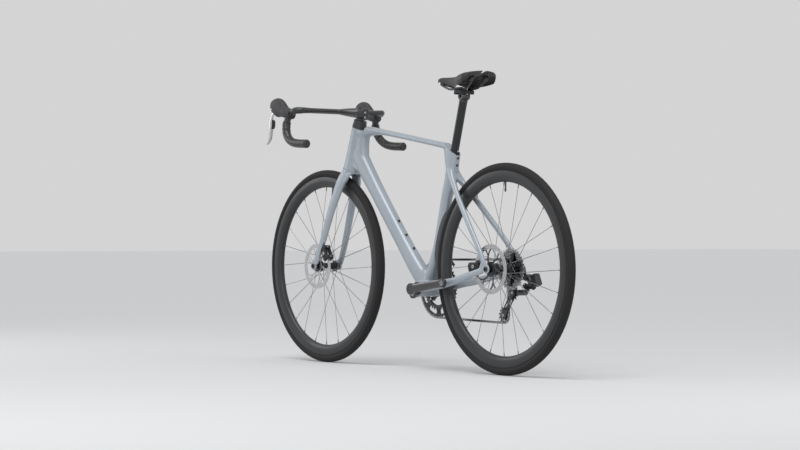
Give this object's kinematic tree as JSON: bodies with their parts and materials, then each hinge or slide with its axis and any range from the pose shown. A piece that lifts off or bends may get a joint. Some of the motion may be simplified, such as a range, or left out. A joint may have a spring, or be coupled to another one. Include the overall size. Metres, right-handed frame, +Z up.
{
  "type": "road bike",
  "caption": "Road bike with aero tubes, drop bar with hoods and levers, disc brakes, deep rims and an electronic derailleur drivetrain.",
  "frame": {"origin": "on the floor, midway between the two tyre contact points, in the frame's middle plane", "axes": "+X forward, +Y to the rider's left, +Z up"},
  "size_m": [1.6764, 0.4438, 0.9821],
  "materials": {
    "black_alloy": "black anodised",
    "black_carbon": "black moulded composite, satin",
    "bright_steel": "bright",
    "chain_steel": "dark plated steel",
    "dark_plastic": "black plastic",
    "frame_paint": "satin pale grey-blue metallic paint",
    "hood_rubber": "dark grey rubber",
    "pad_compound": "dark pad compound",
    "rim_carbon": "dark grey moulded composite",
    "rotor_steel": "ground disc",
    "saddle_cover": "black cover",
    "silver_alloy": "brushed silver",
    "tape": "black wound tape",
    "tyre_rubber": "black rubber"
  },
  "bodies": {
    "frame": {"frame": "frame_paint", "seat_clamp_wedge": "black_alloy", "bottom_bracket_cup_left": "black_alloy", "bottom_bracket_cup_right": "black_alloy", "derailleur_hanger": "black_alloy", "rear_thru_axle": "black_alloy", "headset_bearing_lower": "bright_steel", "headset_bearing_upper": "bright_steel", "rear_caliper": "black_alloy", "front_derailleur_body": "black_alloy", "rear_derailleur_body": "black_alloy", "derailleur_battery": "dark_plastic", "chain": "chain_steel"},
    "steering": {"fork": "frame_paint", "front_thru_axle": "black_alloy", "front_caliper": "black_alloy", "headset_cover": "dark_plastic", "handlebar_stem": "black_carbon", "bar_tape_left": "tape", "bar_tape_right": "tape", "bar_plug_left": "dark_plastic", "bar_plug_right": "dark_plastic", "brake_hood_left": "hood_rubber", "brake_hood_right": "hood_rubber"},
    "front_wheel": {"front_tyre": "tyre_rubber", "front_rim": "rim_carbon", "front_spokes_left": "bright_steel", "front_spokes_right": "bright_steel", "front_hub": "black_alloy", "front_rotor": "rotor_steel"},
    "rear_wheel": {"rear_tyre": "tyre_rubber", "rear_rim": "rim_carbon", "rear_spokes_left": "bright_steel", "rear_spokes_right": "bright_steel", "rear_hub": "black_alloy", "rear_rotor": "rotor_steel"},
    "cassette": {"cassette": "bright_steel"},
    "crankset": {"crank_left": "black_alloy", "crank_right": "black_alloy", "chainring_large": "black_alloy", "chainring_small": "black_alloy"},
    "derailleur_link": {"derailleur_link": "black_alloy"},
    "derailleur_knuckle": {"derailleur_knuckle": "black_alloy"},
    "derailleur_cage": {"derailleur_cage": "black_alloy"},
    "pulley_upper": {"pulley_upper": "dark_plastic"},
    "pulley_lower": {"pulley_lower": "dark_plastic"},
    "front_derailleur_cage": {"front_derailleur_cage": "black_alloy"},
    "seatpost": {"seatpost": "black_carbon"},
    "saddle_clamp": {"saddle_clamp": "black_alloy"},
    "saddle": {"saddle_rails": "black_carbon", "saddle_shell": "dark_plastic", "saddle_cover": "saddle_cover"},
    "brake_lever_left": {"brake_lever_left": "silver_alloy"},
    "shift_paddle_left": {"shift_paddle_left": "dark_plastic"},
    "brake_lever_right": {"brake_lever_right": "silver_alloy"},
    "shift_paddle_right": {"shift_paddle_right": "dark_plastic"},
    "front_pad_inner": {"front_pad_inner": "pad_compound"},
    "front_pad_outer": {"front_pad_outer": "pad_compound"},
    "rear_pad_inner": {"rear_pad_inner": "pad_compound"},
    "rear_pad_outer": {"rear_pad_outer": "pad_compound"}
  },
  "joints": [
    {"name": "steering", "type": "hinge", "parent": "frame", "child": "steering", "pos_m": [0.3464, 0, 0.681], "axis": [-0.2924, 0, 0.9563], "range_deg": [-50, 50]},
    {"name": "front_wheel_spin", "type": "hinge", "parent": "steering", "child": "front_wheel", "pos_m": [0.4975, 0, 0.3407], "axis": [0, 1, 0], "continuous": true},
    {"name": "rear_wheel_spin", "type": "hinge", "parent": "frame", "child": "rear_wheel", "pos_m": [-0.4975, 0, 0.3407], "axis": [0, 1, 0], "continuous": true},
    {"name": "crank_spin", "type": "hinge", "parent": "frame", "child": "crankset", "pos_m": [-0.09352, 0, 0.2707], "axis": [0, 1, 0], "continuous": true, "deforming": ["chain"]},
    {"name": "cassette_spin", "type": "hinge", "parent": "frame", "child": "cassette", "pos_m": [-0.4975, 0, 0.3407], "axis": [0, 1, 0], "continuous": true},
    {"name": "pulley_upper_spin", "type": "hinge", "parent": "derailleur_cage", "child": "pulley_upper", "pos_m": [-0.483, -0.049, 0.264], "axis": [0, 1, 0], "continuous": true},
    {"name": "pulley_lower_spin", "type": "hinge", "parent": "derailleur_cage", "child": "pulley_lower", "pos_m": [-0.43734, -0.049, 0.18995], "axis": [0, 1, 0], "continuous": true},
    {"name": "derailleur_shift", "type": "hinge", "parent": "frame", "child": "derailleur_link", "pos_m": [-0.533, -0.09, 0.284], "axis": [0, 0.6901, 0.7237], "range_deg": [-28, 32]},
    {"name": "derailleur_knuckle_turn", "type": "hinge", "parent": "derailleur_link", "child": "derailleur_knuckle", "pos_m": [-0.497, -0.09, 0.284], "axis": [0, 0.6901, 0.7237], "range_deg": [-32, 28]},
    {"name": "derailleur_cage_swing", "type": "hinge", "parent": "derailleur_knuckle", "child": "derailleur_cage", "pos_m": [-0.483, -0.049, 0.264], "axis": [0, 1, 0], "range_deg": [-25, 25], "stiffness_Nm_per_rad": 1},
    {"name": "front_derailleur_shift", "type": "slide", "parent": "frame", "child": "front_derailleur_cage", "axis": [0, 1, 0], "range_m": [0, 0.0065]},
    {"name": "seatpost_height", "type": "slide", "parent": "frame", "child": "seatpost", "axis": [-0.2756, 0, 0.9613], "range_m": [-0.03, 0.04]},
    {"name": "saddle_tilt", "type": "hinge", "parent": "seatpost", "child": "saddle_clamp", "pos_m": [-0.29026, 0, 0.904], "axis": [0, 1, 0], "range_deg": [-5, 5]},
    {"name": "saddle_slide", "type": "slide", "parent": "saddle_clamp", "child": "saddle", "axis": [1, 0, 0], "range_m": [-0.01, 0.01]},
    {"name": "brake_lever_left_pull", "type": "hinge", "parent": "steering", "child": "brake_lever_left", "pos_m": [0.556, 0.185, 0.893], "axis": [0, 1, 0], "range_deg": [0, 18], "stiffness_Nm_per_rad": 1.2, "springref_deg": -8.59},
    {"name": "shift_paddle_left_press", "type": "hinge", "parent": "brake_lever_left", "child": "shift_paddle_left", "pos_m": [0.5625, 0.1895, 0.84], "axis": [0, 0, 1], "range_deg": [0, 5], "stiffness_Nm_per_rad": 0.5, "springref_deg": -5.73},
    {"name": "brake_lever_right_pull", "type": "hinge", "parent": "steering", "child": "brake_lever_right", "pos_m": [0.556, -0.185, 0.893], "axis": [0, 1, 0], "range_deg": [0, 18], "stiffness_Nm_per_rad": 1.2, "springref_deg": -8.59},
    {"name": "shift_paddle_right_press", "type": "hinge", "parent": "brake_lever_right", "child": "shift_paddle_right", "pos_m": [0.5625, -0.1895, 0.84], "axis": [0, 0, -1], "range_deg": [0, 5], "stiffness_Nm_per_rad": 0.5, "springref_deg": -5.73},
    {"name": "front_pad_inner_close", "type": "slide", "parent": "steering", "child": "front_pad_inner", "axis": [0, 1, 0], "range_m": [0, 0.0005]},
    {"name": "front_pad_outer_close", "type": "slide", "parent": "steering", "child": "front_pad_outer", "axis": [0, -1, 0], "range_m": [0, 0.0005]},
    {"name": "rear_pad_inner_close", "type": "slide", "parent": "frame", "child": "rear_pad_inner", "axis": [0, 1, 0], "range_m": [0, 0.0005]},
    {"name": "rear_pad_outer_close", "type": "slide", "parent": "frame", "child": "rear_pad_outer", "axis": [0, -1, 0], "range_m": [0, 0.0005]}
  ],
  "couplings": [
    {"joint": "cassette_spin", "follows": "crank_spin", "ratio": 3.2},
    {"joint": "pulley_upper_spin", "follows": "crank_spin", "ratio": -4},
    {"joint": "pulley_lower_spin", "follows": "crank_spin", "ratio": 4},
    {"joint": "derailleur_knuckle_turn", "follows": "derailleur_shift", "ratio": -1},
    {"joint": "front_pad_inner_close", "follows": "brake_lever_left_pull", "m_per_rad": 0.00159},
    {"joint": "front_pad_outer_close", "follows": "brake_lever_left_pull", "m_per_rad": 0.00159},
    {"joint": "rear_pad_inner_close", "follows": "brake_lever_right_pull", "m_per_rad": 0.00159},
    {"joint": "rear_pad_outer_close", "follows": "brake_lever_right_pull", "m_per_rad": 0.00159}
  ]
}
